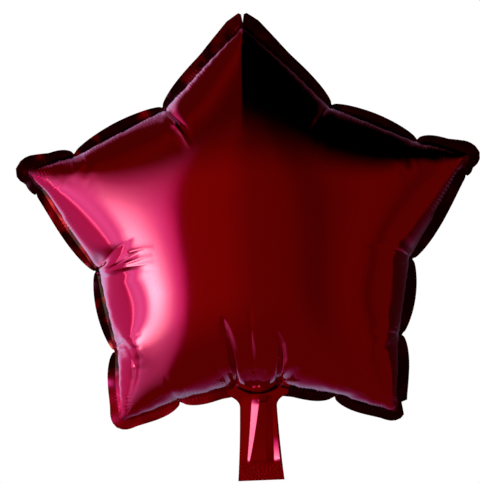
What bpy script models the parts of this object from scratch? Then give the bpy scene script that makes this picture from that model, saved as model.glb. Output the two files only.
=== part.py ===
"""Star foil balloon, inflated: two star-shaped sheets of metallised film sealed together round the rim.

The front is towards -Y, the seam lies in the XZ plane and the filling tail hangs down from the star.
The origin is the middle of the tail's sealed end. All lengths are in metres.
"""

import math

import bmesh
import bpy
import numpy as np
from mathutils import Vector

# The star, whose outline is the same on both sides. Places are (x, z) from the star's centre.
STAR_ABOVE_ORIGIN = 0.229
DEPTH = 0.152
BULGE_POWER = 0.47
TOP_TIP = Vector((0.0, 0.2105))
TOP_CORNER = Vector((0.082, 0.128))
SIDE_UPPER_NOTCH = Vector((0.1665, 0.0887))
SIDE_TIP = Vector((0.2190, 0.0735))
SIDE_LOWER_NOTCH = Vector((0.2035, 0.0535))
SIDE_CORNER = Vector((0.1538, -0.0262))
LOW_OUTER_NOTCH = Vector((0.1396, -0.1022))
LOW_TIP = Vector((0.1362, -0.1770))
LOW_INNER_NOTCH = Vector((0.075, -0.1566))
NECK_GATHER = Vector((0.0215, -0.1445))
TIP_ROUNDING = 0.010

# The heat-sealed rim outside the air space, puckered into lobes by the inflation.
SEAM_THICKNESS = 0.0006
SEAM_WIDTH = 0.0074
SEAM_WIDTH_AT_UPPER_TIP = 0.0125
SEAM_WIDTH_AT_LOW_TIP = 0.0085
SEAM_WIDTH_AT_PUCKER = 0.001
SEAM_WIDTH_AT_NECK = 0.010
LOBE_FULLNESS = 0.7
LOBE_SWELL = 0.0015
NECK_SWELL = 0.007

# Puckers: each is a valley that runs from the rim towards the star's centre.
CORNER_PUCKER_LENGTH = 0.046
CORNER_PUCKER_DEPTH = 0.30
NOTCH_PUCKER_LENGTH = 0.026
NOTCH_PUCKER_DEPTH = 0.22
GATHER_LENGTH = 0.062
GATHER_DEPTH = 0.26
PUCKER_HALF_WIDTH = 0.0055
PUCKER_FADE = 1.5

# The filling tail: a flat film tube with lengthwise pleats and a crimped end.
TAIL_WIDTH_AT_NECK = 0.035
TAIL_WIDTH_AT_END = 0.0455
TAIL_THICKNESS = 0.0009
TAIL_UNDER_STAR = 0.018
TAIL_END_BELOW_ORIGIN = 0.0078
CRIMP_HEIGHT = 0.0156
PLEAT_HEIGHT = 0.0024
PLEATS = 2.5
PLEAT_SHIFT = 0.6

# How finely the film is divided.
RIM_STEP = 0.0105
FEWEST_STEPS = 3
POINTS_PER_TIP = 5
RINGS = 10
TAIL_COLUMNS = 20
TAIL_ROWS = 18
SHARP_FROM = math.radians(60)


def clear_scene():
    for obj in list(bpy.data.objects):
        bpy.data.objects.remove(obj)


def film_material():
    material = bpy.data.materials.new("metallised crimson film")
    material.use_nodes = True
    shader = material.node_tree.nodes["Principled BSDF"]
    shader.inputs["Base Color"].default_value = (0.33, 0.006, 0.045, 1.0)
    shader.inputs["Metallic"].default_value = 1.0
    shader.inputs["Roughness"].default_value = 0.14
    return material


def lobe(start, end, widths, swell):
    """Rim points from start up to end, closer together at both ends, each with the seam's width there."""
    outward = Vector((start.y - end.y, end.x - start.x)).normalized()
    steps = max(FEWEST_STEPS, round((end - start).length / RIM_STEP))
    points = []
    for step in range(steps):
        along = (1 - math.cos(math.pi * step / steps)) / 2
        arch = math.sin(math.pi * along)
        narrowest = widths[0] + (widths[1] - widths[0]) * along
        width = narrowest + (SEAM_WIDTH - narrowest) * arch**LOBE_FULLNESS
        points.append((start.lerp(end, along) + outward * swell * arch, width))
    return points


def tip_arc(before, tip, after, seam_width):
    """Rim points round a tip, whose rounding starts at one rim point and ends at the other."""
    start = tip + (before - tip).normalized() * TIP_ROUNDING
    end = tip + (after - tip).normalized() * TIP_ROUNDING
    points = []
    for step in range(POINTS_PER_TIP):
        along = step / POINTS_PER_TIP
        curve = start.lerp(tip, along).lerp(tip.lerp(end, along), along)
        arch = math.sin(math.pi * along)
        points.append((curve, SEAM_WIDTH + (seam_width - SEAM_WIDTH) * arch))
    return points, start, end


def mirrored(point):
    return Vector((-point.x, point.y))


def star_rim():
    """The seam line once round, clockwise from the top tip, as [(point, seam width outside it)]."""
    right = [TOP_CORNER, SIDE_UPPER_NOTCH, SIDE_TIP, SIDE_LOWER_NOTCH, SIDE_CORNER]
    right += [LOW_OUTER_NOTCH, LOW_TIP, LOW_INNER_NOTCH, NECK_GATHER]
    stops = [TOP_TIP] + right + [mirrored(stop) for stop in reversed(right)]
    tips = (TOP_TIP, SIDE_TIP, LOW_TIP, mirrored(SIDE_TIP), mirrored(LOW_TIP))
    arcs = []
    for index, stop in enumerate(stops):
        if stop in tips:
            seam_width = SEAM_WIDTH_AT_LOW_TIP if stop.y < 0 else SEAM_WIDTH_AT_UPPER_TIP
            arcs.append(tip_arc(stops[index - 1], stop, stops[(index + 1) % len(stops)], seam_width))
        else:
            arcs.append(([], stop, stop))
    widths = [SEAM_WIDTH if stop in tips else SEAM_WIDTH_AT_PUCKER for stop in stops]
    for gather in (NECK_GATHER, mirrored(NECK_GATHER)):
        widths[stops.index(gather)] = SEAM_WIDTH_AT_NECK
    rim = []
    for index, (points, _, leave) in enumerate(arcs):
        following = (index + 1) % len(stops)
        arrive = arcs[following][1]
        swell = NECK_SWELL if stops[index] == NECK_GATHER else LOBE_SWELL
        rim += points + lobe(leave, arrive, (widths[index], widths[following]), swell)
    return rim


def seam_edge(rim):
    """The cut edge of the sealed rim: each rim point moved out square to the seam by its width."""
    edge = []
    for index, (point, width) in enumerate(rim):
        before, after = rim[index - 1][0], rim[(index + 1) % len(rim)][0]
        tangent = (after - before).normalized()
        edge.append(point + Vector((-tangent.y, tangent.x)) * width)
    return edge


def membrane(points, triangles, free):
    """The bulge of a film held at its rim and blown evenly: zero at the rim, largest in the middle."""
    corners = points[triangles]
    weights = np.zeros((len(points), len(points)))
    load = np.zeros(len(points))
    for turn in range(3):
        here, left, right = (triangles[:, (turn + step) % 3] for step in range(3))
        to_left = corners[:, (turn + 1) % 3] - corners[:, turn]
        to_right = corners[:, (turn + 2) % 3] - corners[:, turn]
        area = np.abs(to_left[:, 0] * to_right[:, 1] - to_left[:, 1] * to_right[:, 0])
        weight = (to_left * to_right).sum(axis=1) / area / 2
        np.add.at(weights, (left, right), -weight)
        np.add.at(weights, (right, left), -weight)
        np.add.at(weights, (left, left), weight)
        np.add.at(weights, (right, right), weight)
        np.add.at(load, here, area / 6)
    bulge = np.zeros(len(points))
    bulge[free] = np.linalg.solve(weights[np.ix_(free, free)], load[free])
    return bulge


def pucker_share(place):
    """How much of the bulge the puckers leave at a place: 1 away from them all."""
    corners = (TOP_CORNER, SIDE_CORNER)
    notches = (SIDE_UPPER_NOTCH, SIDE_LOWER_NOTCH, LOW_OUTER_NOTCH, LOW_INNER_NOTCH)
    puckers = [(stop, CORNER_PUCKER_LENGTH, CORNER_PUCKER_DEPTH) for stop in corners]
    puckers += [(stop, NOTCH_PUCKER_LENGTH, NOTCH_PUCKER_DEPTH) for stop in notches]
    puckers.append((NECK_GATHER, GATHER_LENGTH, GATHER_DEPTH))
    place = Vector((abs(place.x), place.y))
    left = 1.0
    for stop, length, depth in puckers:
        aim = Vector((stop.x, 0.0)) if stop == NECK_GATHER else Vector((0.0, 0.0))
        inward = (aim - stop).normalized()
        along = max(0.0, (place - stop).dot(inward))
        across = abs((place - stop).cross(inward)) / PUCKER_HALF_WIDTH
        fade = max(0.0, 1 - along / length) ** PUCKER_FADE
        left -= depth * fade * math.exp(-(across**2))
    return left


def ring_share(ring):
    """How far out of the centre a ring lies: rings crowd towards the rim, where the film is steep."""
    return math.sin(math.pi / 2 * ring / RINGS)


def make_star(material):
    """A sphere of rings and meridians, whose rings are laid over the star and blown up."""
    rim = star_rim()
    edge = seam_edge(rim)
    count = len(rim)
    flat = [Vector((0.0, 0.0))]
    for ring in range(1, RINGS + 1):
        flat += [point * ring_share(ring) for point, width in rim]
    triangles = [(0, 1 + turn, 1 + (turn + 1) % count) for turn in range(count)]
    for ring in range(1, RINGS):
        inner, outer = 1 + (ring - 1) * count, 1 + ring * count
        for turn in range(count):
            after = (turn + 1) % count
            triangles.append((inner + turn, outer + turn, outer + after))
            triangles.append((inner + turn, outer + after, inner + after))
    free = np.arange(1 + (RINGS - 1) * count)
    bulge = membrane(np.array(flat), np.array(triangles), free)
    heights = DEPTH / 2 * (bulge / bulge.max()) ** BULGE_POWER

    bm = bmesh.new()
    bands = 2 * RINGS + 3
    bmesh.ops.create_uvsphere(bm, u_segments=count, v_segments=bands, radius=1.0)
    for vert in bm.verts:
        band = round(math.acos(max(-1.0, min(1.0, vert.co.z))) / math.pi * bands)
        side = -1 if 2 * band < bands else 1
        ring = min(band, bands - band)
        turn = round(-math.atan2(vert.co.y, vert.co.x) / math.tau * count) % count
        index = 0 if ring == 0 else 1 + (ring - 1) * count + turn
        place = edge[turn] if ring > RINGS else flat[index]
        height = 0.0 if ring > RINGS else heights[index] * pucker_share(place)
        offset = side * (SEAM_THICKNESS / 2 + height)
        vert.co = (place.x, offset, place.y + STAR_ABOVE_ORIGIN)
    bmesh.ops.recalc_face_normals(bm, faces=bm.faces)
    mesh = bpy.data.meshes.new("star_balloon")
    bm.to_mesh(mesh)
    bm.free()
    mesh.materials.append(material)
    mesh.shade_smooth()
    mesh.set_sharp_from_angle(angle=SHARP_FROM)
    return bpy.data.objects.new("star_balloon", mesh)


def make_tail(material):
    """The tail's film: a sheet with pleats that flatten out towards the crimped end."""
    top = STAR_ABOVE_ORIGIN + NECK_GATHER.y + TAIL_UNDER_STAR
    bottom = -TAIL_END_BELOW_ORIGIN
    crimp_top = bottom + CRIMP_HEIGHT
    bm = bmesh.new()
    bmesh.ops.create_grid(bm, x_segments=TAIL_COLUMNS, y_segments=TAIL_ROWS, size=1.0)
    for vert in bm.verts:
        across = vert.co.x
        row = round((vert.co.y + 1) / 2 * TAIL_ROWS)
        height = crimp_top + (top - crimp_top) * (row - 1) / (TAIL_ROWS - 1) if row else bottom
        flare = ((top - height) / (top - bottom)) ** 2
        width = TAIL_WIDTH_AT_NECK + (TAIL_WIDTH_AT_END - TAIL_WIDTH_AT_NECK) * flare
        rise = math.sqrt(max(0.0, (height - crimp_top) / (top - crimp_top)))
        wave = math.cos(math.pi * PLEATS * across + PLEAT_SHIFT) * math.cos(math.pi / 2 * across)
        vert.co = (across * width / 2, PLEAT_HEIGHT * rise * wave, height)
    mesh = bpy.data.meshes.new("tail")
    bm.to_mesh(mesh)
    bm.free()
    mesh.materials.append(material)
    tail = bpy.data.objects.new("tail", mesh)
    solidify = tail.modifiers.new("film", "SOLIDIFY")
    solidify.thickness = TAIL_THICKNESS
    solidify.offset = 0.0
    return tail


def main():
    clear_scene()
    parts = bpy.data.collections.new("star foil balloon")
    joined = bpy.data.collections.new("joined pieces")
    for collection in (parts, joined):
        bpy.context.scene.collection.children.link(collection)
    material = film_material()
    star = make_star(material)
    parts.objects.link(star)
    tail = make_tail(material)
    joined.objects.link(tail)
    tail.hide_render = True
    tail.display_type = "WIRE"
    union = star.modifiers.new("sealed to the tail", "BOOLEAN")
    union.operation = "UNION"
    union.solver = "EXACT"
    union.object = tail


main()
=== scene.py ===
"""The looks of the star foil balloon: two sheets of metallised film, sealed round the rim and blown up.

The front is towards -Y, the seam lies in the XZ plane and the filling tail hangs down. Lengths are in metres.
"""

import math
import random

import bmesh
import bpy
import numpy as np
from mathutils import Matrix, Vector
from mathutils.geometry import delaunay_2d_cdt
from mathutils.kdtree import KDTree


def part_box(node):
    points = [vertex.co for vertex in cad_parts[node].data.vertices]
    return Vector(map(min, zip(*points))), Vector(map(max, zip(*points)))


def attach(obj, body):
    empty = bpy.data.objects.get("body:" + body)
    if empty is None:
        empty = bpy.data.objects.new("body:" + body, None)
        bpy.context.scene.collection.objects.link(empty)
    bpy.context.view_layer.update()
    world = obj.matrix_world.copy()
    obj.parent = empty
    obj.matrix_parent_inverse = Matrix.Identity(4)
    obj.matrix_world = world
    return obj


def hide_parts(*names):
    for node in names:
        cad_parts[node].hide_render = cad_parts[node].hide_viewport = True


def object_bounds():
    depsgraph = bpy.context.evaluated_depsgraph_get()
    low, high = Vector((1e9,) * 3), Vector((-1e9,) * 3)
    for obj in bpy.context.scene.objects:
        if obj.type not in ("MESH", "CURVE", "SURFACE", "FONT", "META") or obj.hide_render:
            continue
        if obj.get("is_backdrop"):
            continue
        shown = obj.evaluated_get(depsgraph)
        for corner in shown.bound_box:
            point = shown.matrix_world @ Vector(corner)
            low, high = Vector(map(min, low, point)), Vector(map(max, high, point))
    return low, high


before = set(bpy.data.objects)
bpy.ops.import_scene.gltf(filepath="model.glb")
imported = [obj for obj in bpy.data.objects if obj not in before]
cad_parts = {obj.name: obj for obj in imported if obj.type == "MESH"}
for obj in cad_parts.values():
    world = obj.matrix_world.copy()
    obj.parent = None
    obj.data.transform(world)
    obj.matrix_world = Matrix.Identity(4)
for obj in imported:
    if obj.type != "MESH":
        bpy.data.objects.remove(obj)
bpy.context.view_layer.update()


# The heat seal
# A hot die presses the two star-shaped sheets together in one line. The air pulls that line in: it stays
# straight in lobes, and gathers into a sharp fold at each inner corner and at one notch on most arm edges.

MM = 0.001
tail_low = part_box("star_balloon")[0].z
STAR_ABOVE_TAIL_END = 0.2368
star_middle = tail_low + STAR_ABOVE_TAIL_END

# Each stop on the seam: name, place (x, z) from the star's centre in mm, kind, the depth of its fold in mm,
# how many times further out the flat sheet is cut there, and how strongly its creases show.
SEAM_STOPS_MM = [
    ("top tip", (0.0, 210.5), "tip", 0.0, 1.05, 0.0),
    ("right top corner", (82.9, 126.0), "corner", 2.0, 1.11, 0.2),
    ("right upper notch", (164.4, 88.9), "notch", 1.5, 1.0, 0.3),
    ("right tip", (219.0, 72.5), "tip", 0.0, 1.05, 0.0),
    ("right middle notch", (205.5, 55.5), "notch", 0.0, 1.0, 0.2),
    ("right corner", (155.2, -26.4), "corner", 2.0, 1.11, 0.25),
    ("right lower notch", (142.0, -99.5), "notch", 2.0, 1.0, 0.4),
    ("right low tip", (136.0, -178.0), "tip", 0.0, 1.05, 0.0),
    ("right bottom notch", (74.2, -157.0), "notch", 2.0, 1.0, 0.4),
    ("right gather", (21.5, -145.0), "gather", 3.0, 1.12, 0.3),
    ("left gather", (-22.0, -144.0), "gather", 3.0, 1.12, 0.3),
    ("left bottom notch", (-75.8, -156.2), "notch", 2.0, 1.0, 0.4),
    ("left low tip", (-136.4, -176.0), "tip", 0.0, 1.05, 0.0),
    ("left lower notch", (-137.2, -104.5), "notch", 2.5, 1.0, 0.6),
    ("left corner", (-152.4, -26.0), "corner", 3.0, 1.14, 0.8),
    ("left middle notch", (-202.0, 54.0), "notch", 0.0, 1.0, 0.2),
    ("left tip", (-219.0, 74.5), "tip", 0.0, 1.05, 0.0),
    ("left upper notch", (-168.8, 88.5), "notch", 2.0, 1.0, 0.3),
    ("left top corner", (-81.1, 130.0), "corner", 2.5, 1.12, 0.4),
]
names, spots, kinds, fold_depths, cut_further, crease_shows = zip(*SEAM_STOPS_MM)
places = [Vector(spot) * MM for spot in spots]
folds = [depth * MM for depth in fold_depths]
STOP_COUNT = len(SEAM_STOPS_MM)

TIP_ROUNDING = 0.010
FOLD_HALF_WIDTH = 0.0009
# A fold's line from its bottom outwards, as shares of its depth and of its half width.
FOLD_STEPS = [(1.0, 0.0), (0.5, 0.45)]
LOBE_SWELL = 0.0015
NECK_SWELL = 0.007
ARC_STEPS = 8
LOBE_STEPS = 24

# The sealed rim outside the seam: its width in the lobes, at the tips, and at the puckers, where it closes
# up.
RIM_WIDTH = 0.0078
RIM_WIDTH_AT_PUCKER = 0.0012
RIM_WIDTH_AT_GATHER = 0.0100
RIM_WIDTH_AT = {
    "top tip": 0.0122,
    "right tip": 0.0115,
    "left tip": 0.0128,
    "right low tip": 0.0085,
    "left low tip": 0.0085,
    "right middle notch": 0.0074,
    "left middle notch": 0.0074,
}
LOBE_FULLNESS = 0.5


def rounded(before, corner, after, radius):
    """A corner's rounding, as a row of points."""
    start = corner + (before - corner).normalized() * radius
    end = corner + (after - corner).normalized() * radius
    steps = [step / ARC_STEPS for step in range(ARC_STEPS + 1)]
    return [start.lerp(corner, share).lerp(corner.lerp(end, share), share) for share in steps]


def inwards(index):
    """The way that the fold at a stop points: to the star's centre, or straight up at the neck."""
    aim = Vector((places[index].x, 0.0)) if kinds[index] == "gather" else Vector((0.0, 0.0))
    return (aim - places[index]).normalized()


def rim_width_at(index, towards):
    """The rim's width at a stop, on its side towards the next stop or the one before."""
    if kinds[index] == "tip" and names[towards] in RIM_WIDTH_AT:
        return RIM_WIDTH
    usual = RIM_WIDTH_AT_GATHER if kinds[index] == "gather" else RIM_WIDTH_AT_PUCKER
    return RIM_WIDTH_AT.get(names[index], usual)


def tip_half(index, towards):
    """Half of a tip's rounding, on its side towards another stop, as (seam point, rim edge point)."""
    leaving = towards == (index + 1) % STOP_COUNT
    before, after = places[index - 1], places[(index + 1) % STOP_COUNT]
    arc = rounded(before, places[index], after, TIP_ROUNDING)
    half = range(ARC_STEPS // 2, ARC_STEPS + 1) if leaving else range(ARC_STEPS // 2 + 1)
    widest, narrowest = RIM_WIDTH_AT[names[index]], rim_width_at(index, towards)
    pairs = []
    for step in half:
        ahead, behind = arc[min(step + 1, ARC_STEPS)], arc[max(step - 1, 0)]
        tangent = (ahead - behind).normalized()
        outward = Vector((-tangent.y, tangent.x))
        arch = math.sin(math.pi * step / ARC_STEPS)
        pairs.append((arc[step], arc[step] + outward * (narrowest + (widest - narrowest) * arch)))
    return pairs


def fold_half(index, side, leaving):
    """Half of the fold at a pucker: in along its bottom, out to the lobe beside it."""
    inward, depth = inwards(index), folds[index]
    edge = places[index] - inward * rim_width_at(index, index)
    pairs = []
    for share, spread in FOLD_STEPS:
        point = places[index] + inward * depth * share + side * FOLD_HALF_WIDTH * spread
        pairs.append((point, edge + side * FOLD_HALF_WIDTH * spread))
    return pairs if leaving else pairs[::-1]


def seam_lobe(index):
    """The seam from one stop to the next, as (seam point, rim edge point)."""
    following = (index + 1) % STOP_COUNT
    side = (places[following] - places[index]).normalized()
    outward = Vector((-side.y, side.x))
    both_gathers = kinds[index] == kinds[following] == "gather"
    swell = NECK_SWELL if both_gathers else LOBE_SWELL
    if kinds[index] == "tip":
        first = tip_half(index, following)
        start = first.pop()[0]
    else:
        first = fold_half(index, side, True)
        start = places[index] + side * FOLD_HALF_WIDTH
    if kinds[following] == "tip":
        last = tip_half(following, index)
        end = last.pop(0)[0]
    else:
        last = fold_half(following, -side, False)
        end = places[following] - side * FOLD_HALF_WIDTH
    widths = (rim_width_at(index, following), rim_width_at(following, index))
    middle = []
    for step in range(LOBE_STEPS + 1):
        along = (1 - math.cos(math.pi * step / LOBE_STEPS)) / 2
        arch = math.sin(math.pi * along)
        narrowest = widths[0] + (widths[1] - widths[0]) * along
        width = narrowest + max(0.0, RIM_WIDTH - narrowest) * arch**LOBE_FULLNESS
        point = start.lerp(end, along) + outward * swell * arch
        middle.append((point, point + outward * width))
    return first + middle + last


# The cut sheets
# Two flat stars of nylon film, a little larger than the blown balloon, because the bulge draws the seam in.
# Corners and tips are cut further out than they end up, and each arm edge is cut straight between them.

CUT_CORNER_ROUNDING = 0.006
CLOTH_STEP = 0.0042
CLEAR_OF_SEAM = 0.62
WIDEST_CUT = 0.27
SAME_POINT = 1e-7
TRIANGLES_INSIDE = 1


def cut_star():
    """The stops' places on the flat sheet."""
    cut = [place * further for place, further in zip(places, cut_further)]
    for index, kind in enumerate(kinds):
        if kind == "notch":
            before, after = index - 1, (index + 1) % STOP_COUNT
            share_before = (places[index] - places[before]).length
            share_after = (places[after] - places[index]).length
            cut[index] = cut[before].lerp(cut[after], share_before / (share_before + share_after))
    return cut


def cut_edge(cut, index):
    """The flat sheet's seam line from one stop to the next."""
    following = (index + 1) % STOP_COUNT
    points = []
    for stop, half in ((index, slice(ARC_STEPS // 2, None)), (following, slice(ARC_STEPS // 2 + 1))):
        if kinds[stop] == "notch":
            points.append(cut[stop])
        else:
            radius = TIP_ROUNDING if kinds[stop] == "tip" else CUT_CORNER_ROUNDING
            points += rounded(cut[stop - 1], cut[stop], cut[(stop + 1) % STOP_COUNT], radius)[half]
    return points


def evenly(rows, count):
    """A path of rows of numbers in equal steps of its first two, without its last point."""
    rows = np.array(rows)
    lengths = np.concatenate([[0.0], np.cumsum(np.linalg.norm(np.diff(rows[:, :2], axis=0), axis=1))])
    wanted = np.arange(count) / count * lengths[-1]
    return np.stack([np.interp(wanted, lengths, column) for column in rows.T], axis=1)


cut = cut_star()
cut_line, seam_line, edge_ring = [], [], []
for index in range(STOP_COUNT):
    flat_path = [tuple(point) for point in cut_edge(cut, index)]
    flat_length = np.linalg.norm(np.diff(np.array(flat_path), axis=0), axis=1).sum()
    steps = max(2, round(flat_length / CLOTH_STEP))
    lobe = [(seam.x, seam.y, edge.x, edge.y) for seam, edge in seam_lobe(index)]
    cut_line.append(evenly(flat_path, steps))
    laid = evenly(lobe, 2 * steps)
    seam_line.append(laid[::2, :2])
    edge_ring.append(laid[:, 2:])
cut_line, seam_line, edge_ring = (np.vstack(rows) for rows in (cut_line, seam_line, edge_ring))
RIM_POINTS = len(cut_line)

# The top tip's rim is cut in two by a narrow slot: the slot's bottom, then the rim's edge on both sides of
# it, as (aside, up) in mm. On the right low tip a strip of the rim is torn off below a square step.
TOP_SLOT_MM = [(0.0, 210.6), (1.3, 218.6), (4.1, 219.9), (8.2, 217.2)]
TORN_BELOW, TORN_TO, TORN_SLANT = -0.1655, 0.1398, 0.15
for step, (aside, upwards) in enumerate(TOP_SLOT_MM):
    for side in (1, -1):
        edge_ring[side * step] = (side * aside * MM, upwards * MM)
torn_to = TORN_TO + (TORN_BELOW - edge_ring[:, 1]) * TORN_SLANT
torn = (edge_ring[:, 1] < TORN_BELOW) & (edge_ring[:, 0] > torn_to)
edge_ring[torn, 0] = torn_to[torn]


def film_net(outline):
    """Even triangles inside an outline: their points, the outline first, and their corners."""
    row_height = CLOTH_STEP * math.sqrt(3) / 2
    reach = round(WIDEST_CUT / row_height)
    columns, rows = np.meshgrid(np.arange(-reach, reach + 1), np.arange(-reach, reach + 1))
    grid = np.stack([(columns + (rows % 2) / 2) * CLOTH_STEP, rows * row_height], axis=-1).reshape(-1, 2)
    following = np.roll(outline, -1, axis=0)
    run = following - outline
    x, z = grid[:, :1], grid[:, 1:]
    crossing = outline[:, 0] + run[:, 0] * (z - outline[:, 1]) / np.where(run[:, 1] == 0, 1, run[:, 1])
    passed = ((outline[:, 1] > z) != (following[:, 1] > z)) & (x < crossing)
    inside = passed.sum(axis=1) % 2 == 1
    away = grid[:, None] - outline
    along = np.clip((away * run).sum(axis=2) / (run**2).sum(axis=1), 0, 1)
    distance = np.linalg.norm(away - run * along[..., None], axis=2).min(axis=1)
    grid = grid[inside & (distance > CLOTH_STEP * CLEAR_OF_SEAM)]
    points = [Vector(point) for point in np.vstack([outline, grid])]
    ring = [(index, (index + 1) % RIM_POINTS) for index in range(RIM_POINTS)]
    placed, _, faces, *_ = delaunay_2d_cdt(
        points, ring, [list(range(RIM_POINTS))], TRIANGLES_INSIDE, SAME_POINT
    )
    return np.array([tuple(point) for point in placed]), np.array(faces)


flat, triangles = film_net(cut_line)


# Blowing up the front sheet
# The seam is drawn in while the air presses the sheet forward. The film hardly stretches, so the spare length
# at every pucker stands up as creases that fan out over the sheet.

DRAW_IN_FRAMES = 14
BLOW_FRAMES = 40
AIR_PRESSURE = 50.0
FILM_TENSION = 8.0
FILM_COMPRESSION = 2.0
FILM_SHEAR = 5.0
FILM_BENDING = 3.0
FILM_MASS = 0.15
DAMPING = 5.0
BENDING_DAMPING = 0.5
AIR_DAMPING = 2.0
SEAM_HOLD = 50.0
SOLVER_STEPS = 8
INNER_DRAW_IN = 0.87
HALF_DEPTH = 0.0755


def neighbours(corners):
    """Both ends of every side of the triangles, each side once."""
    sides = np.vstack([corners[:, [0, 1]], corners[:, [1, 2]], corners[:, [2, 0]]])
    return np.unique(np.sort(sides, axis=1), axis=0)


def blown(flat, triangles):
    """The front sheet after the cloth simulation."""
    count = len(flat)
    start = np.stack([flat[:, 0], np.zeros(count), flat[:, 1]], axis=1)
    mesh = bpy.data.meshes.new("sheet being blown")
    mesh.from_pydata(start.tolist(), [], triangles.tolist())
    if mesh.polygons[0].normal.y > 0:
        mesh.flip_normals()
    sheet = bpy.data.objects.new("sheet being blown", mesh)
    scene = bpy.context.scene
    scene.collection.objects.link(sheet)
    sheet.shape_key_add(name="cut flat")
    drawn_in = sheet.shape_key_add(name="seam drawn in")
    target = start * INNER_DRAW_IN
    target[:RIM_POINTS, 0] = seam_line[:, 0]
    target[:RIM_POINTS, 2] = seam_line[:, 1]
    drawn_in.data.foreach_set("co", target.astype(np.float32).ravel())
    for value, when in ((0.0, 1), (1.0, DRAW_IN_FRAMES)):
        drawn_in.value = value
        drawn_in.keyframe_insert("value", frame=when)
    seam_group = sheet.vertex_groups.new(name="seam")
    seam_group.add(list(range(RIM_POINTS)), 1.0, "REPLACE")
    cloth = sheet.modifiers.new("air pressure", "CLOTH")
    film = cloth.settings
    film.quality = SOLVER_STEPS
    film.mass = FILM_MASS
    film.tension_stiffness = FILM_TENSION
    film.compression_stiffness = FILM_COMPRESSION
    film.shear_stiffness = FILM_SHEAR
    film.bending_stiffness = FILM_BENDING
    film.tension_damping = film.compression_damping = film.shear_damping = DAMPING
    film.bending_damping = BENDING_DAMPING
    film.air_damping = AIR_DAMPING
    film.use_pressure = True
    film.uniform_pressure_force = AIR_PRESSURE
    film.effector_weights.gravity = 0.0
    film.vertex_group_mass = seam_group.name
    film.pin_stiffness = SEAM_HOLD
    cloth.collision_settings.use_collision = False
    cloth.point_cache.frame_start = 1
    cloth.point_cache.frame_end = BLOW_FRAMES
    scene.frame_start, scene.frame_end = 1, BLOW_FRAMES
    for when in range(1, BLOW_FRAMES + 1):
        scene.frame_set(when)
    result = sheet.evaluated_get(bpy.context.evaluated_depsgraph_get()).to_mesh()
    places_now = np.empty(count * 3, np.float32)
    result.vertices.foreach_get("co", places_now)
    scene.frame_set(1)
    bpy.data.objects.remove(sheet)
    return places_now.reshape(-1, 3).astype(float)


def even_skin(flat, triangles):
    """An even elastic skin: its triangles' sides, as ends and weights, and each point's area."""
    ends, others, weights = [], [], []
    area = np.zeros(len(flat))
    for turn in range(3):
        here, left, right = (triangles[:, (turn + step) % 3] for step in range(3))
        to_left, to_right = flat[left] - flat[here], flat[right] - flat[here]
        double = np.abs(to_left[:, 0] * to_right[:, 1] - to_left[:, 1] * to_right[:, 0])
        weight = (to_left * to_right).sum(axis=1) / double / 2
        ends += [left, right]
        others += [right, left]
        weights += [weight, weight]
        area += np.bincount(here, double / 6, len(flat))
    return np.concatenate(ends), np.concatenate(others), np.concatenate(weights), area


MOST_TURNS = 800
CLOSE_ENOUGH = 1e-13


def at_rest(skin, held, load):
    """Where an even skin comes to rest: its rim points held at their values, the others under a load."""
    ends, others, weights, area = skin
    count = len(area)
    stiffness = np.bincount(ends, weights, count)
    free = np.arange(count) >= RIM_POINTS

    def pull(values):
        return stiffness * values - np.bincount(ends, weights * values[others], count)

    values = np.zeros(count)
    values[:RIM_POINTS] = held
    left_over = np.where(free, load * area - pull(values), 0.0)
    way = left_over / stiffness
    size = left_over @ way
    for _ in range(MOST_TURNS):
        pulled = np.where(free, pull(way), 0.0)
        step = size / (way @ pulled)
        values += step * way
        left_over -= step * pulled
        if left_over @ left_over < CLOSE_ENOUGH**2:
            break
        eased_left = left_over / stiffness
        size, before = left_over @ eased_left, size
        way = eased_left + size / before * way
    return values


EASE_PULL = 0.5
EASE_PUSH = -0.53


def eased(points, corners, passes, held):
    """Smoothing that doesn't shrink: each pass pulls points to their neighbours' mean, then pushes back."""
    sides = neighbours(corners)
    degree = np.bincount(sides.ravel(), minlength=len(points))[:, None]
    for _ in range(passes):
        for share in (EASE_PULL, EASE_PUSH):
            total = np.zeros_like(points)
            np.add.at(total, sides[:, 0], points[sides[:, 1]])
            np.add.at(total, sides[:, 1], points[sides[:, 0]])
            moved = points + share * (total / degree - points)
            moved[held] = points[held]
            points = moved
    return points


# In a finer sheet a new point takes its place from the ends of its side and from the corners across it, and
# an old point gives each neighbour a share that depends on how many it has.
END_SHARE, ACROSS_SHARE, SEAM_END_SHARE = 3 / 8, 1 / 8, 1 / 2
FEW, FEW_SHARE, MANY_SHARE = 3, 3 / 16, 3 / 8


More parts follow.
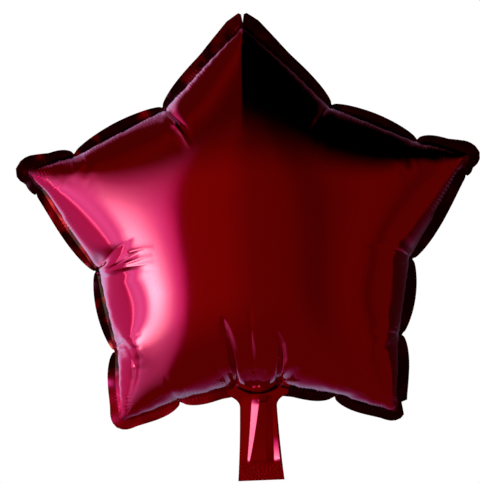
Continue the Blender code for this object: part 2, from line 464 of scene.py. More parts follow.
def divided(points, corners, rim):
    """A finer, rounder sheet: a new point on every side, old points eased, the seam kept where it is."""
    sides = np.sort(np.vstack([corners[:, [0, 1]], corners[:, [1, 2]], corners[:, [2, 0]]]), axis=1)
    edges, where = np.unique(sides, axis=0, return_inverse=True)
    where = where.ravel()
    across = points[corners[:, [2, 0, 1]].T.ravel()]
    total = np.zeros((len(edges), 3))
    np.add.at(total, where, across)
    ends = points[edges].sum(axis=1)
    inner = np.bincount(where)[:, None] == 2
    fresh = np.where(inner, END_SHARE * ends + ACROSS_SHARE * total, SEAM_END_SHARE * ends)
    degree = np.bincount(edges.ravel(), minlength=len(points))[:, None]
    share = np.where(degree == FEW, FEW_SHARE, MANY_SHARE / degree)
    around = np.zeros_like(points)
    np.add.at(around, edges[:, 0], points[edges[:, 1]])
    np.add.at(around, edges[:, 1], points[edges[:, 0]])
    kept = (1 - degree * share) * points + share * around
    kept[rim] = points[rim]
    number = {tuple(edge): len(points) + index for index, edge in enumerate(edges.tolist())}
    middles = where.reshape(3, -1).T + len(points)
    finer = []
    for turn in range(3):
        finer += [corners[:, [turn]], middles[:, [turn]], middles[:, [turn - 1]]]
    finer.append(middles)
    ring = []
    for here, after in zip(rim, np.roll(rim, -1)):
        ring += [here, number[tuple(sorted((int(here), int(after))))]]
    return np.vstack([kept, fresh]), np.hstack(finer).reshape(-1, 3), np.array(ring)


# The air gives the sheet its round body, as a skin blown evenly over the drawn-in seam. The creases come from
# the simulation: what it has over its own mean nearby, at a pucker and fading out from there.
SMOOTH_PASSES = 1
MEAN_PASSES = 60
DEEPEST_CREASE = 0.5
CREASE_REACH = 0.022
NO_HEIGHT = 0.0004

skin = even_skin(flat, triangles)
bulge = np.sqrt(np.maximum(at_rest(skin, 0.0, 1.0), 0.0))
height = HALF_DEPTH * bulge / bulge.max()
calm = np.stack([at_rest(skin, seam_line[:, 0], 0.0), -height, at_rest(skin, seam_line[:, 1], 0.0)], axis=1)
sheet = blown(flat, triangles)
sides = neighbours(triangles)
degree = np.bincount(sides.ravel(), minlength=len(sheet))
swelling = -sheet[:, 1] / np.maximum(height, NO_HEIGHT)
swelling[:RIM_POINTS] = np.median(swelling)
mean = swelling.copy()
for _ in range(MEAN_PASSES):
    total = np.bincount(sides[:, 0], mean[sides[:, 1]], len(mean))
    total += np.bincount(sides[:, 1], mean[sides[:, 0]], len(mean))
    mean = (mean + total / degree) / 2
crease = np.clip(swelling / mean - 1, -DEEPEST_CREASE, DEEPEST_CREASE)
shows = np.zeros(len(sheet))
for place, strength in zip(places, crease_shows):
    away = np.hypot(sheet[:, 0] - place.x, sheet[:, 2] - place.y)
    shows = np.maximum(shows, strength * np.exp(-((away / CREASE_REACH) ** 2)))
sheet = calm + (sheet - calm) * shows[:, None]
sheet[:, 1] = -height * (1 + crease * shows)
sheet[:RIM_POINTS, 1] = 0.0
sheet = eased(sheet, triangles, SMOOTH_PASSES, np.arange(RIM_POINTS))
sheet, triangles, ring = divided(sheet, triangles, np.arange(RIM_POINTS))


# The sharpest folds of this balloon, each a line of places (x, z) in mm with its depth and width in mm. A
# negative depth stands up as a ridge. A fold is deepest at its first place and fades out at its last.
FOLD_LINES_MM = [
    (
        "left top corner",
        [(-80.1, 130.2), (-73.1, 122.1), (-67.0, 117.0), (-60.4, 110.8), (-53.5, 99.8)],
        4.4, 1.9,
    ),
    ("beside it", [(-70.0, 112.5), (-62.7, 102.6), (-55.8, 88.2)], -2.0, 1.8),
    ("right top corner", [(82.8, 125.5), (76.8, 121.8), (66.5, 108.6), (59.1, 96.2)], 2.6, 2.0),
    ("left corner, upper", [(-152.0, -26.1), (-144.9, -18.0), (-131.6, -5.4), (-112.7, 5.4)], 3.4, 1.8),
    ("left corner, lower", [(-149.1, -27.2), (-142.7, -25.5), (-131.3, -21.0), (-107.3, -9.5)], 4.2, 1.8),
    ("left corner, level", [(-140.0, -27.0), (-110.0, -26.8), (-89.5, -26.7)], 0.5, 1.2),
    ("left corner, first crinkle", [(-122.5, -19.7), (-107.6, -15.2), (-95.7, -12.1)], -1.5, 1.6),
    ("left corner, second crinkle", [(-124.6, -23.5), (-107.8, -21.5), (-94.0, -19.0)], -1.3, 1.5),
    ("left corner, third crinkle", [(-118.0, -8.5), (-104.0, -5.5), (-94.0, -4.5)], -1.3, 1.6),
    (
        "right corner",
        [(154.7, -26.4), (144.3, -19.2), (133.0, -14.8), (121.1, -13.3), (104.0, -11.1)],
        3.2, 1.9,
    ),
    ("right lower notch", [(142.0, -99.0), (131.3, -98.2), (109.7, -95.2)], 2.8, 1.8),
    ("left lower notch", [(-137.2, -105.8), (-126.9, -104.3), (-110.0, -100.0)], 2.6, 1.9),
    ("left lower notch, up", [(-136.4, -97.1), (-124.5, -94.6), (-109.6, -88.3)], 1.3, 1.4),
    ("left lower notch, further up", [(-136.2, -91.3), (-124.4, -90.7), (-113.4, -86.2)], -1.0, 1.3),
    (
        "left lower notch, down",
        [(-122.0, -106.0), (-117.3, -120.3), (-118.2, -130.0), (-126.0, -156.0)],
        1.5, 1.8,
    ),
    ("left bottom notch", [(-76.2, -156.2), (-81.9, -150.1), (-85.9, -141.1), (-90.0, -129.2)], 2.0, 1.8),
    ("beside the left bottom notch", [(-84.0, -154.9), (-86.7, -149.9), (-91.3, -139.0)], -1.0, 1.3),
    (
        "left gather",
        [(-22.0, -144.0), (-21.1, -133.0), (-23.4, -118.3), (-27.7, -91.7), (-31.7, -72.9)],
        14.0, 2.0,
    ),
    (
        "right gather",
        [(21.5, -145.0), (21.0, -131.8), (23.5, -117.3), (23.3, -103.0), (18.2, -84.7)],
        14.0, 2.0,
    ),
    ("between the gathers", [(-3.7, -128.9), (-4.3, -104.4), (-4.5, -62.1)], 1.5, 1.5),
    ("between the gathers, right", [(0.0, -125.2), (0.5, -92.8)], -0.8, 1.4),
    ("under the bulge", [(-0.2, -152.0), (0.3, -143.0), (-0.2, -128.0)], 2.6, 2.4),
    ("left upper notch", [(-168.8, 88.9), (-164.7, 75.0)], 1.8, 1.6),
    ("beside the left upper notch", [(-171.8, 88.0), (-176.1, 77.4)], 1.2, 1.5),
    ("right upper notch", [(164.2, 88.4), (163.7, 69.3)], 1.8, 1.6),
    ("right bottom notch", [(74.1, -157.4), (76.3, -151.7), (79.4, -142.9)], 1.6, 1.6),
    ("scratch", [(101.3, -139.0), (93.4, -140.9)], 0.5, 1.0),
    ("top tip", [(-1.0, 212.0), (-3.1, 173.9), (-4.2, 134.9), (-5.9, 95.7)], -4.0, 16.0),
]
FOLD_FADE = 1.2
FOLD_ROUNDING = 0.0006
DEEPEST_PRESS = 0.6
FINE_REACH = 0.0045
FINE_EASING = 2


def from_line(sheet, line):
    """How far each point is from a line of places, and its share of the way along that line."""
    spots = np.array(line) * MM
    runs = np.diff(spots, axis=0)
    lengths = np.linalg.norm(runs, axis=1)
    starts = np.concatenate([[0.0], np.cumsum(lengths)])
    nearest = np.full(len(sheet), np.inf)
    along = np.zeros(len(sheet))
    for spot, run, length, start in zip(spots, runs, lengths, starts):
        away = sheet[:, [0, 2]] - spot
        share = np.clip(away @ run / length**2, 0.0, 1.0)
        distance = np.linalg.norm(away - share[:, None] * run, axis=1)
        along = np.where(distance < nearest, (start + share * length) / starts[-1], along)
        nearest = np.minimum(nearest, distance)
    return nearest, along


def close_to_folds(sheet):
    """Whether each point is close to a narrow fold."""
    narrow = [line for _, line, depth, width in FOLD_LINES_MM if width * MM < FINE_REACH]
    return np.min([from_line(sheet, line)[0] for line in narrow], axis=0) < FINE_REACH


def finer_at_folds(sheet, corners):
    """Splits the sides of the triangles that lie close to a fold, all but the seam's own."""
    close = close_to_folds(sheet)
    mesh = bmesh.new()
    spots = [mesh.verts.new(place) for place in sheet.tolist()]
    for face in corners.tolist():
        mesh.faces.new([spots[corner] for corner in face])
    mesh.verts.index_update()
    inner = [side for side in mesh.edges if not side.is_boundary]
    sides = [side for side in inner if all(close[end.index] for end in side.verts)]
    bmesh.ops.subdivide_edges(mesh, edges=sides, cuts=1)
    bmesh.ops.triangulate(mesh, faces=mesh.faces)
    mesh.verts.index_update()
    places_now = np.array([tuple(spot.co) for spot in mesh.verts])
    corners_now = np.array([[spot.index for spot in face.verts] for face in mesh.faces])
    mesh.free()
    return places_now, corners_now


sheet, triangles = finer_at_folds(sheet, triangles)
held = ~close_to_folds(sheet)
held[ring] = True
sheet = eased(sheet, triangles, FINE_EASING, held)
for _, line, depth, width in FOLD_LINES_MM:
    distance, along = from_line(sheet, line)
    beside = np.exp((FOLD_ROUNDING - np.hypot(distance, FOLD_ROUNDING)) / (width * MM))
    pressed = depth * MM * (1 - along) ** FOLD_FADE * beside
    sheet[:, 1] += np.minimum(pressed, -sheet[:, 1] * DEEPEST_PRESS)
sheet[ring, 1] = 0.0


# The star: both sheets and their sealed rim
# The back sheet is the front one's mirror image. Outside the seam the two are welded into one thin, stiff
# rim, which the drawn-in seam leaves too long, so that it curls back and ripples between the puckers.

RIM_THICKNESS = 0.0004
RIM_BANDS = 5
RIM_LEAN = 0.12
RIPPLE_HEIGHT = 0.0008
RIPPLE_LENGTHS = (0.040, 0.023)
RIPPLE_GROWTH = 1.5
RIPPLE_DRIFTS = (3, 7, 11)
LEAST_DRIFT, MOST_DRIFT = 0.6, 1.4
RIPPLE_SEED = 5
SHARP_AT = 65

seam_ring = sheet[ring][:, [0, 2]]
steps = np.linalg.norm(np.roll(edge_ring, -1, axis=0) - edge_ring, axis=1)
round_rim = np.concatenate([[0.0], np.cumsum(steps)[:-1]])
draws = random.Random(RIPPLE_SEED)
rim_length = steps.sum()
ripple = np.zeros(len(ring))
for length in RIPPLE_LENGTHS:
    turns = round(rim_length / length)
    drift = np.zeros(len(ring))
    for wave in RIPPLE_DRIFTS:
        size, start = draws.uniform(LEAST_DRIFT, MOST_DRIFT), draws.uniform(0, math.tau)
        drift += size * np.sin(math.tau * wave * round_rim / rim_length + start)
    ripple += np.sin(math.tau * turns * round_rim / rim_length + drift) / len(RIPPLE_LENGTHS)

rows = []
for band in range(1, RIM_BANDS + 1):
    share = band / RIM_BANDS
    row = seam_ring + (edge_ring - seam_ring) * share
    width = np.linalg.norm(edge_ring - seam_ring, axis=1) * share
    back = RIM_LEAN * width + RIPPLE_HEIGHT * ripple * share**RIPPLE_GROWTH
    rows.append(np.stack([row[:, 0], back, row[:, 1]], axis=1))
half_film = np.array([0.0, RIM_THICKNESS / 2, 0.0])

count = len(sheet)
front_points = sheet.copy()
front_points[ring] -= half_film
back_points = sheet * np.array([1.0, -1.0, 1.0])
back_points[ring] += half_film
rim_front = np.vstack([row - half_film for row in rows])
rim_back = np.vstack([row + half_film for row in rows])
points = np.vstack([front_points, back_points, rim_front, rim_back])
faces = [tuple(face) for face in triangles.tolist()]
faces += [tuple(count + corner for corner in reversed(face)) for face in triangles.tolist()]
ring_size = len(ring)
rim_numbers = (2 * count + np.arange(2 * RIM_BANDS * ring_size)).reshape(2, RIM_BANDS, ring_size)
front_rings = np.vstack([ring, rim_numbers[0]]).tolist()
back_rings = np.vstack([ring + count, rim_numbers[1]]).tolist()
for turn in range(ring_size):
    after = (turn + 1) % ring_size
    for rings, here, there in ((front_rings, turn, after), (back_rings, after, turn)):
        faces += [(near[here], far[here], far[there], near[there]) for near, far in zip(rings, rings[1:])]
    front_edge, back_edge = front_rings[-1], back_rings[-1]
    faces.append((front_edge[turn], back_edge[turn], back_edge[after], front_edge[after]))

star_mesh = bpy.data.meshes.new("inflated_star")
star_mesh.from_pydata((points + np.array([0.0, 0.0, star_middle])).tolist(), [], faces)
star_mesh.validate()
star = bpy.data.objects.new("inflated_star", star_mesh)
bpy.context.scene.collection.objects.link(star)
star_mesh.shade_smooth()
star_mesh.set_sharp_from_angle(angle=math.radians(SHARP_AT))

# For the ribs that the drawn-in seam leaves in the film: each point's way along the seam, and how near it is.
RIB_REACH = 0.016
RIM_RIBS = 0.3
seam_tree = KDTree(ring_size)
for index, place in enumerate(seam_ring):
    seam_tree.insert((place[0], place[1], 0.0), index)
seam_tree.balance()
found = [seam_tree.find((place[0], place[2], 0.0)) for place in sheet]
along_sheet = round_rim[[index for _, index, _ in found]]
near_sheet = np.clip(1 - np.array([distance for *_, distance in found]) / RIB_REACH, 0.0, 1.0)
rim_copies = 2 * RIM_BANDS
along_rim = np.concatenate([along_sheet, along_sheet, np.tile(round_rim, rim_copies)])
near_seam = np.concatenate([near_sheet, near_sheet, np.full(rim_copies * ring_size, RIM_RIBS)])
for name, values in (("along_rim", along_rim), ("near_seam", near_seam)):
    star_mesh.attributes.new(name, "FLOAT", "POINT").data.foreach_set("value", values.astype(np.float32))


def linear(colour):
    """An sRGB hex colour, such as "#C81E64", as linear red, green, blue and alpha."""
    parts = [int(colour[start : start + 2], 16) / 255 for start in (1, 3, 5)]
    parts = [part / 12.92 if part <= 0.04045 else ((part + 0.055) / 1.055) ** 2.4 for part in parts]
    return (*parts, 1.0)


def add_node(tree, kind, inputs, stops=(), **settings):
    """Adds a node with its settings and links, and a ramp's stops, as (place from 0 to 1, linear colour).

    An input is a plain value, an output, or a node, which stands for its first live output.
    """
    node = tree.nodes.new(kind)
    while stops and len(node.color_ramp.elements) < len(stops):
        node.color_ramp.elements.new(1.0)
    for number, (place, colour) in enumerate(stops):
        node.color_ramp.elements[number].position = place
        node.color_ramp.elements[number].color = colour
    for name, value in settings.items():
        setattr(node, name, value)
    for name, value in inputs.items():
        if isinstance(name, int):
            socket = node.inputs[name]
        else:
            socket = next(live for live in node.inputs if live.enabled and live.name == name)
        if isinstance(value, bpy.types.Node):
            value = next(output for output in value.outputs if output.enabled)
        if isinstance(value, bpy.types.NodeSocket):
            tree.links.new(value, socket)
        else:
            socket.default_value = value
    return node


# Nylon film with a vapour coat of aluminium under a clear crimson lacquer: a dark mirror that takes the
# lacquer's colour, with a clear gloss of its own on top that pales at the edges. Where the film is slack it
# dents faintly, about every 17 mm. Along the seam it is ribbed in patches, and the ribs stand 3.6 mm apart.
SLACK_SIZE = 0.016667
SLACK_HEIGHT = 0.0004
SLACK_SHOWS = 0.15
RIB_PITCH = 0.0036
RIB_HEIGHT = 0.00016
RIB_DRIFT = 14.0
RIB_PATCH_SIZE = 0.033333
RIB_PATCH_FROM, RIB_PATCH_BY = 0.42, 0.62
film = bpy.data.materials.new("vacuum metallised film, crimson lacquer")
film.use_nodes = True
tree = film.node_tree
shader = tree.nodes["Principled BSDF"]
shader.inputs["Base Color"].default_value = linear("#CB1253")
shader.inputs["Metallic"].default_value = 1.0
shader.inputs["Roughness"].default_value = 0.09
shader.inputs["Coat Weight"].default_value = 1.0
shader.inputs["Coat Roughness"].default_value = 0.06
place = add_node(tree, "ShaderNodeTexCoord", {})
slack = add_node(
    tree, "ShaderNodeTexNoise", {"Vector": place.outputs["Object"], "Scale": 1 / SLACK_SIZE, "Detail": 3.0}
)
bump = add_node(tree, "ShaderNodeBump", {"Height": slack, "Strength": SLACK_SHOWS, "Distance": SLACK_HEIGHT})
along = add_node(tree, "ShaderNodeAttribute", {}, attribute_name="along_rim")
near = add_node(tree, "ShaderNodeAttribute", {}, attribute_name="near_seam")
wander = add_node(
    tree, "ShaderNodeTexNoise",
    {"Vector": place.outputs["Object"], "Scale": 1 / RIB_PATCH_SIZE, "Detail": 0.0},
)
patch = add_node(
    tree, "ShaderNodeMapRange", {"Value": wander, "From Min": RIB_PATCH_FROM, "From Max": RIB_PATCH_BY}
)
drift = add_node(tree, "ShaderNodeMath", {0: wander, 1: RIB_DRIFT}, operation="MULTIPLY")
turns = add_node(
    tree, "ShaderNodeMath", {0: along.outputs["Fac"], 1: math.tau / RIB_PITCH, 2: drift},
    operation="MULTIPLY_ADD",
)
wave = add_node(tree, "ShaderNodeMath", {0: turns}, operation="SINE")
shown = add_node(tree, "ShaderNodeMath", {0: near.outputs["Fac"], 1: patch}, operation="MULTIPLY")
rib = add_node(tree, "ShaderNodeMath", {0: wave, 1: shown}, operation="MULTIPLY")
ribbed = add_node(tree, "ShaderNodeBump", {"Height": rib, "Distance": RIB_HEIGHT, "Normal": bump})
tree.links.new(ribbed.outputs["Normal"], shader.inputs["Normal"])
star_mesh.materials.append(film)

# The sealed rim is the same film, pressed by the hot die, with its gloss a little broken. Its colour is
# painted light: nearly black for a painted dark reflection, with dull red patches of painted glints that
# grow fewer towards the right.
GLINT_PATCH_SIZE = 0.020
GLINT_FROM, GLINT_BY = 0.5, 0.72
GLINTS_GONE_AT_X, GLINTS_FULL_AT_X, GLINTS_LEAST = 0.04, -0.06, 0.1
PAINTED_REFLECTION_FROM_X, PAINTED_REFLECTION_BY_X = -0.02, -0.05
PAINTED_REFLECTION_FROM_BELOW, PAINTED_REFLECTION_BY_BELOW = 0.12, 0.15
seal = film.copy()
seal.name = "heat sealed film, painted dark reflection and glints"
seal_tree = seal.node_tree
seal_shader = seal_tree.nodes["Principled BSDF"]
seal_shader.inputs["Roughness"].default_value = 0.18
seal_shader.inputs["Coat Weight"].default_value = 0.2
place = add_node(seal_tree, "ShaderNodeTexCoord", {})
# Painted glints: noise patches where the rim's colour turns dull red.
glint_noise = add_node(
    seal_tree, "ShaderNodeTexNoise",
    {"Vector": place.outputs["Object"], "Scale": 1 / GLINT_PATCH_SIZE, "Detail": 1.0},
)
pressed = add_node(
    seal_tree, "ShaderNodeMapRange", {"Value": glint_noise, "From Min": GLINT_FROM, "From Max": GLINT_BY}
)
# Round the left low tip the rim's colour turns crimson-pink: a painted reflection.
spot = add_node(seal_tree, "ShaderNodeSeparateXYZ", {"Vector": place.outputs["Object"]})
left = add_node(
    seal_tree, "ShaderNodeMapRange",
    {"Value": spot.outputs["X"], "From Min": PAINTED_REFLECTION_FROM_X, "From Max": PAINTED_REFLECTION_BY_X},
)
low = add_node(
    seal_tree, "ShaderNodeMapRange",
    {
        "Value": spot.outputs["Z"],
        "From Min": star_middle - PAINTED_REFLECTION_FROM_BELOW, "From Max": star_middle - PAINTED_REFLECTION_BY_BELOW,
    },
)
painted_reflection_mask = add_node(seal_tree, "ShaderNodeMath", {0: left, 1: low}, operation="MULTIPLY")
# The rim's base colour: nearly black as painted dark reflection, crimson-pink round the left low tip as
# painted reflection.
dark = add_node(
    seal_tree, "ShaderNodeMix", {"Factor": painted_reflection_mask, "A": linear("#2A0208"), "B": linear("#D8307A")},
    data_type="RGBA",
)
# The painted glints grow fewer towards the right.
leftish = add_node(
    seal_tree, "ShaderNodeMapRange",
    {"Value": spot.outputs["X"], "From Min": GLINTS_GONE_AT_X, "From Max": GLINTS_FULL_AT_X, "To Min": GLINTS_LEAST},
)
painted_glints = add_node(seal_tree, "ShaderNodeMath", {0: pressed, 1: leftish}, operation="MULTIPLY")
# The rim's colour: the painted dark reflection, mixed with the painted red glints.
lacquer = add_node(
    seal_tree, "ShaderNodeMix", {"Factor": painted_glints, "A": dark, "B": linear("#B00820")}, data_type="RGBA"
)
lacquer_colour = next(output for output in lacquer.outputs if output.enabled)
seal_tree.links.new(lacquer_colour, seal_shader.inputs["Base Color"])
star_mesh.materials.append(seal)
sheet_faces = 2 * len(triangles)
rim_faces = len(star_mesh.polygons) - sheet_faces
star_mesh.polygons.foreach_set("material_index", [0] * sheet_faces + [1] * rim_faces)
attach(star, "root")
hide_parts("star_balloon")


# The filling tail
# The two sheets run on below the neck as a flat sleeve, through which the balloon is filled. It is pleated
# where the neck gathers it, and sealed at its end in a crimped band.

TAIL_TOP_BELOW_MIDDLE = 0.128
TAIL_WIDTH_AT_NECK = 0.0350
TAIL_WIDTH_AT_END = 0.0452
TAIL_THICKNESS = 0.0006
CRIMP_HEIGHT = 0.0156
FOLDS_CLOSE_OVER = 0.005
FOLDS_OPEN_OVER = 0.009
EDGES_CLOSE_OVER = 0.125
TAIL_WIDENING = 2
FOLD_SHIFTING = 2
TAIL_COLUMNS = 72
TAIL_ROWS = 72
# The sleeve's folds: how far across (0 left, 1 right) and how far forward of the seam, in mm.
FOLDS_AT_NECK_MM = [
    (0.0, 0.0), (0.10, 0.2), (0.33, 0.9), (0.57, 3.7), (0.74, 3.3), (0.88, 1.0), (0.97, 0.9), (1.0, 0.0),
]
FOLDS_AT_END_MM = [
    (0.0, 0.0), (0.10, 0.2), (0.18, 0.2), (0.23, 0.9), (0.64, 1.5), (0.80, 0.1), (0.97, 2.9), (1.0, 0.0),
]
# At the neck the sleeve's edges curve outwards into the star's rim.
FLARE_FROM_BELOW_MIDDLE = 0.1526
FLARE_HEIGHT = 0.013
FLARE_WIDTH = 0.012
FLARE_CURVE = 2.5
FLARE_SHARE = 0.08

top = star_middle - TAIL_TOP_BELOW_MIDDLE
fold_rows = np.array([FOLDS_AT_NECK_MM, FOLDS_AT_END_MM])
tail_points, tail_faces = [], []
for side in (-1, 1):
    for row in range(TAIL_ROWS + 1):
        down = row / TAIL_ROWS
        height = top + (tail_low - top) * down
        width = TAIL_WIDTH_AT_NECK + (TAIL_WIDTH_AT_END - TAIL_WIDTH_AT_NECK) * down**TAIL_WIDENING
        above_crimp = height - tail_low - CRIMP_HEIGHT
        below_neck = star_middle - FLARE_FROM_BELOW_MIDDLE - height
        opened = min(1.0, max(0.0, above_crimp / FOLDS_CLOSE_OVER), max(0.0, below_neck / FOLDS_OPEN_OVER))
        shift = min(1.0, max(0.0, below_neck / (below_neck + max(above_crimp, 0.0))))
        fold_at = fold_rows[0, :, 0] + (fold_rows[1, :, 0] - fold_rows[0, :, 0]) * shift
        fold_out = fold_rows[0, :, 1] + (fold_rows[1, :, 1] - fold_rows[0, :, 1]) * shift**FOLD_SHIFTING
        flare = FLARE_WIDTH * (1 - min(1.0, max(0.0, below_neck / FLARE_HEIGHT))) ** FLARE_CURVE
        for column in range(TAIL_COLUMNS + 1):
            across = column / TAIL_COLUMNS
            out = float(np.interp(across, fold_at, fold_out)) * MM * opened
            parted = min(1.0, min(across, 1 - across) / EDGES_CLOSE_OVER)
            y = -out if side < 0 else -out + TAIL_THICKNESS * parted
            aside = 2 * across - 1
            flared = flare * max(0.0, 1 - (1 - abs(aside)) / FLARE_SHARE)
            tail_points.append((aside * width / 2 + math.copysign(flared, aside), y, height))
columns = TAIL_COLUMNS + 1
back_start = columns * (TAIL_ROWS + 1)
for row in range(TAIL_ROWS):
    for column in range(TAIL_COLUMNS):
        corner = row * columns + column
        quad = (corner, corner + columns, corner + columns + 1, corner + 1)
        tail_faces.append(quad)
        tail_faces.append(tuple(back_start + index for index in reversed(quad)))
# The front and back meet along the left and right edges, then along the top and the end.
edges = ((range(0, back_start, columns), TAIL_COLUMNS), (range(columns), TAIL_ROWS * columns))
for edge, opposite in edges:
    for offset in (0, opposite):
        line = [corner + offset for corner in edge]
        for first, second in zip(line, line[1:]):
            quad = (first, back_start + first, back_start + second, second)
            tail_faces.append(quad[::-1] if offset else quad)
tail_mesh = bpy.data.meshes.new("filling_tail")
tail_mesh.from_pydata(tail_points, [], tail_faces)
tail_mesh.validate()
tail_mesh.shade_smooth()
tail_mesh.set_sharp_from_angle(angle=math.radians(SHARP_AT))
tail = bpy.data.objects.new("filling_tail", tail_mesh)
bpy.context.scene.collection.objects.link(tail)
tail_mesh.materials.append(film)

# The crimped band at the end: hot ribbed jaws press small blunt teeth into the film, which glitters there.
# The teeth are drawn a little coarser than real ones, 2 mm apart, so that they show.
TOOTH = 0.0020
TOOTH_HEIGHT = 0.0008
TOOTH_SHOWS = 0.5
crimp = film.copy()
crimp.name = "crimped metallised film"
crimp_tree = crimp.node_tree
place = add_node(crimp_tree, "ShaderNodeTexCoord", {})
teeth = add_node(crimp_tree, "ShaderNodeTexVoronoi", {"Vector": place.outputs["Object"], "Scale": 1 / TOOTH})
pressed = add_node(
    crimp_tree, "ShaderNodeBump",
    {"Height": teeth.outputs["Distance"], "Strength": TOOTH_SHOWS, "Distance": TOOTH_HEIGHT},
)
crimp_tree.links.new(pressed.outputs["Normal"], crimp_tree.nodes["Principled BSDF"].inputs["Normal"])
tail_mesh.materials.append(crimp)
for face in tail_mesh.polygons:
    if face.center.z < tail_low + CRIMP_HEIGHT:
        face.material_index = 1
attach(tail, "root")
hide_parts("star_balloon")


# The studio
# The balloon floats high over a pale floor, in front of a white surround. The film mirrors the dim room on
# the camera's side, a large softbox and a narrow strip lamp at the left, and a pale wall behind them.

FLOOR_BELOW_TAIL = 6.0
FLOOR_RADIUS = 0.35
FLOOR_SIDES = 96
turns = [math.tau * turn / FLOOR_SIDES for turn in range(FLOOR_SIDES)]
floor_height = tail_low - FLOOR_BELOW_TAIL
floor_mesh = bpy.data.meshes.new("floor")
floor_mesh.from_pydata(
    [(FLOOR_RADIUS * math.cos(turn), FLOOR_RADIUS * math.sin(turn), floor_height) for turn in turns],
    [], [list(range(FLOOR_SIDES))],
)
floor = bpy.data.objects.new("floor", floor_mesh)
bpy.context.scene.collection.objects.link(floor)
# Matt paint gives the floor one even, pale tone.
floor_paint = bpy.data.materials.new("matt painted floor, pale")
floor_paint.use_nodes = True
floor_shader = floor_paint.node_tree.nodes["Principled BSDF"]
floor_shader.inputs["Base Color"].default_value = linear("#EDEBE8")
floor_shader.inputs["Roughness"].default_value = 0.8
floor_mesh.materials.append(floor_paint)
floor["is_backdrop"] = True

# What the film mirrors, by the compass: degrees from straight in front, left positive, with the colour and
# the brightness there. The room in front is dim and warm, and a pale wall stands behind at the left.
ROUND_THE_ROOM = [
    (-180, "#E7CBFF", 0.25),
    (-160, "#E7B4E8", 0.10),
    (-140, "#E790B0", 0.05),
    (-93, "#FF4830", 0.04),
    (-87, "#FF4020", 0.15),
    (-60, "#FF4020", 0.14),
    (-53, "#FF4020", 0.10),
    (-45, "#FF4020", 0.16),
    (-36, "#FF4020", 0.17),
    (-28, "#FF4020", 0.15),
    (-22, "#FF4020", 0.11),
    (-17, "#FF4020", 0.11),
    (-11, "#FF4020", 0.16),
    (0, "#FF4020", 0.18),
    (7, "#FF4020", 0.26),
    (20, "#FF4020", 0.28),
    (71, "#FF6090", 0.34),
    (77, "#FF84E1", 0.66),
    (112, "#FF84E1", 0.68),
    (121, "#FF88E4", 0.80),
    (128, "#ECC8FF", 1.15),
    (138, "#CCD8FF", 1.55),
    (152, "#CCD0FF", 1.30),
    (166, "#DCC4FF", 0.60),
    (180, "#E7CBFF", 0.25),
]
# The same for the dark ceiling.
ROUND_THE_CEILING = [
    (-180, "#E7B4E8", 0.16),
    (-150, "#E790B0", 0.03),
    (-130, "#000000", 0.00),
    (-2, "#000000", 0.00),
    (8, "#FF4020", 0.07),
    (25, "#FF4020", 0.08),
    (45, "#FF4020", 0.16),
    (70, "#FF4020", 0.10),
    (130, "#FF5048", 0.10),
    (150, "#E7B4F0", 0.36),
    (166, "#E7B4F0", 0.34),
    (180, "#E7B4E8", 0.16),
]
# The left softbox: its brightness across, by the compass, and how much of that is left at each height (the
# Z of the direction). Its cloth glows evenly, and the lamp behind it shows as a white core.
SOFTBOX_ACROSS = [
    (21, "#F070FF", 0.00),
    (22.5, "#F070FF", 0.34),
    (25, "#F4A6FF", 0.80),
    (27, "#DCB8FF", 1.20),
    (31, "#DCC4FF", 1.35),
    (47, "#D4C8FF", 1.45),
    (52, "#CCCCFF", 1.40),
    (57, "#C4D4FF", 1.75),
    (64, "#CCC8FF", 1.25),
    (71, "#FF88E8", 0.40),
    (76, "#FF88E8", 0.00),
]
SOFTBOX_UPWARDS = [
    (-0.85, 0.00),
    (-0.70, 0.25),
    (-0.50, 0.62),
    (-0.40, 0.90),
    (-0.28, 1.00),
    (0.08, 1.00),
    (0.17, 0.85),
    (0.24, 0.72),
    (0.34, 0.52),
    (0.42, 0.34),
    (0.50, 0.18),
    (0.57, 0.06),
    (0.62, 0.00),
]
CORE_ACROSS = [
    (27, "#90FFB8", 0.0),
    (30, "#90FFB8", 1.2),
    (33, "#90FFB8", 3.9),
    (37, "#90FFB4", 8.6),
    (41, "#94FFB4", 11.0),
    (45, "#90FFB4", 9.4),
    (48, "#90FFB8", 2.6),
    (51, "#90FFB8", 0.0),
]
CORE_UPWARDS = [
    (-0.62, 0.00),
    (-0.50, 0.08),
    (-0.40, 0.50),
    (-0.28, 1.00),
    (-0.16, 0.80),
    (0.00, 0.44),
    (0.10, 0.27),
    (0.20, 0.12),
    (0.30, 0.05),
    (0.42, 0.00),
]
world = bpy.data.worlds.new("studio")
bpy.context.scene.world = world
world.use_nodes = True
tree = world.node_tree
way = add_node(tree, "ShaderNodeTexCoord", {})
parts = add_node(tree, "ShaderNodeSeparateXYZ", {"Vector": way.outputs["Generated"]})
leftwards = add_node(tree, "ShaderNodeMath", {0: parts.outputs["X"], 1: -1.0}, operation="MULTIPLY")
forwards = add_node(tree, "ShaderNodeMath", {0: parts.outputs["Y"], 1: -1.0}, operation="MULTIPLY")
compass = add_node(tree, "ShaderNodeMath", {0: leftwards, 1: forwards}, operation="ARCTAN2")
turned = add_node(tree, "ShaderNodeMapRange", {"Value": compass, "From Min": -math.pi, "From Max": math.pi})
raised = add_node(tree, "ShaderNodeMapRange", {"Value": parts.outputs["Z"], "From Min": -1.0})


def round_the_compass(table):
    """A table's stops for a colour ramp, and the brightness that their colours are a share of."""
    brightest = max(brightness for _, _, brightness in table)
    stops = []
    for degrees, colour, brightness in table:
        share = brightness / brightest
        stops.append(((degrees + 180) / 360, [part * share for part in linear(colour)[:3]] + [1.0]))
    return stops, brightest


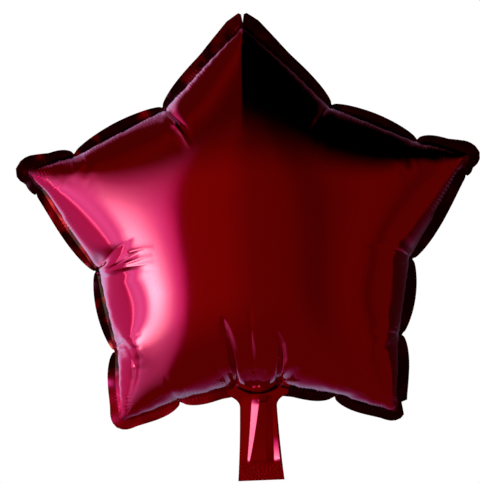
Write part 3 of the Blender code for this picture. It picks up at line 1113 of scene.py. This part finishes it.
# From level to steeply up the room gives way to the ceiling, and from level to steeply down to the dark
# ground, which is paler behind the balloon: places along Y from the front (-1) to the back (1) with the
# colours there.
CEILING_FROM, CEILING_BY = 0.34, 0.70
DOWN_FROM, DOWN_BY = -0.30, -0.80
GROUND = [
    (-0.10, "#6C120D"),
    (0.12, "#76193F"),
    (0.35, "#7E5081"),
    (0.60, "#90A6C5"),
    (0.85, "#A2C5E2"),
]
high_up = add_node(
    tree, "ShaderNodeMapRange",
    {"Value": parts.outputs["Z"], "From Min": CEILING_FROM, "From Max": CEILING_BY},
    interpolation_type="SMOOTHSTEP",
)
low_down = add_node(
    tree, "ShaderNodeMapRange",
    {"Value": parts.outputs["Z"], "From Min": DOWN_FROM, "From Max": DOWN_BY},
    interpolation_type="SMOOTHSTEP",
)
glows = []
for table in (ROUND_THE_ROOM, ROUND_THE_CEILING):
    stops, brightest = round_the_compass(table)
    around = add_node(tree, "ShaderNodeValToRGB", {"Fac": turned}, stops)
    glows.append(add_node(tree, "ShaderNodeBackground", {"Color": around, "Strength": brightest}))
backwards = add_node(tree, "ShaderNodeMapRange", {"Value": parts.outputs["Y"], "From Min": -1.0})
stops = [((place + 1) / 2, linear(colour)) for place, colour in GROUND]
ground = add_node(tree, "ShaderNodeValToRGB", {"Fac": backwards}, stops)
below = add_node(tree, "ShaderNodeBackground", {"Color": ground})
room_and_ceiling = add_node(tree, "ShaderNodeMixShader", {0: high_up, 1: glows[0], 2: glows[1]})
studio = add_node(tree, "ShaderNodeMixShader", {0: low_down, 1: room_and_ceiling, 2: below})
for across_table, upwards_table in ((SOFTBOX_ACROSS, SOFTBOX_UPWARDS), (CORE_ACROSS, CORE_UPWARDS)):
    stops, brightest = round_the_compass(across_table)
    across = add_node(tree, "ShaderNodeValToRGB", {"Fac": turned}, stops)
    stops = [((height + 1) / 2, (share, share, share, 1.0)) for height, share in upwards_table]
    upwards = add_node(tree, "ShaderNodeValToRGB", {"Fac": raised}, stops)
    strength = add_node(tree, "ShaderNodeMath", {0: upwards, 1: brightest}, operation="MULTIPLY")
    glow = add_node(tree, "ShaderNodeBackground", {"Color": across, "Strength": strength})
    studio = add_node(tree, "ShaderNodeAddShader", {0: studio, 1: glow})
plain_white = add_node(tree, "ShaderNodeBackground", {"Color": linear("#FFFFFF")})
ray = add_node(tree, "ShaderNodeLightPath", {})
seen = add_node(tree, "ShaderNodeMixShader", {0: ray.outputs["Is Camera Ray"], 1: studio, 2: plain_white})
tree.links.new(seen.outputs["Shader"], tree.nodes["World Output"].inputs["Surface"])


# The strip lamp: a tall, narrow softbox at the left, a little in front of the balloon.
LAMP_FROM_STAR = Vector((-2.12, -0.90, -0.1))
LAMP_WIDTH, LAMP_HEIGHT = 0.12, 1.8
LAMP_WATTS = 0.7
light = bpy.data.lights.new("strip lamp", "AREA")
light.shape = "RECTANGLE"
light.size, light.size_y = LAMP_WIDTH, LAMP_HEIGHT
light.energy = LAMP_WATTS
lamp = bpy.data.objects.new("strip lamp", light)
middle = Vector((0.0, 0.0, star_middle))
lamp.location = middle + LAMP_FROM_STAR
lamp.rotation_mode = "QUATERNION"
lamp.rotation_quaternion = (-LAMP_FROM_STAR).to_track_quat("-Z", "Y")
bpy.context.scene.collection.objects.link(lamp)

# The camera: straight in front, with a long lens. The balloon hangs turned a little anticlockwise in the
# photograph, so the camera rolls the other way.
PHOTO_WIDTH, PHOTO_HEIGHT = 480, 483
METRES_PER_PIXEL = 0.976e-3
BALLOON_TURN = math.radians(2.35)
STAR_CENTRE_IN_PHOTO = (251.5, 237.94)
CAMERA_DISTANCE = 4.0
right = Vector((math.cos(BALLOON_TURN), 0.0, -math.sin(BALLOON_TURN)))
up = Vector((math.sin(BALLOON_TURN), 0.0, math.cos(BALLOON_TURN)))
aim = middle + right * (PHOTO_WIDTH / 2 - STAR_CENTRE_IN_PHOTO[0]) * METRES_PER_PIXEL
aim -= up * (PHOTO_HEIGHT / 2 - STAR_CENTRE_IN_PHOTO[1]) * METRES_PER_PIXEL
lens = bpy.data.cameras.new("front camera")
lens.lens = lens.sensor_width * CAMERA_DISTANCE / (PHOTO_HEIGHT * METRES_PER_PIXEL)
camera = bpy.data.objects.new("front camera", lens)
camera.location = aim + Vector((0.0, -CAMERA_DISTANCE, 0.0))
camera.rotation_euler = (math.pi / 2, BALLOON_TURN, 0.0)
bpy.context.scene.collection.objects.link(camera)
bpy.context.scene.camera = camera
bpy.context.scene.view_settings.view_transform = "Standard"

low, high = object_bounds()
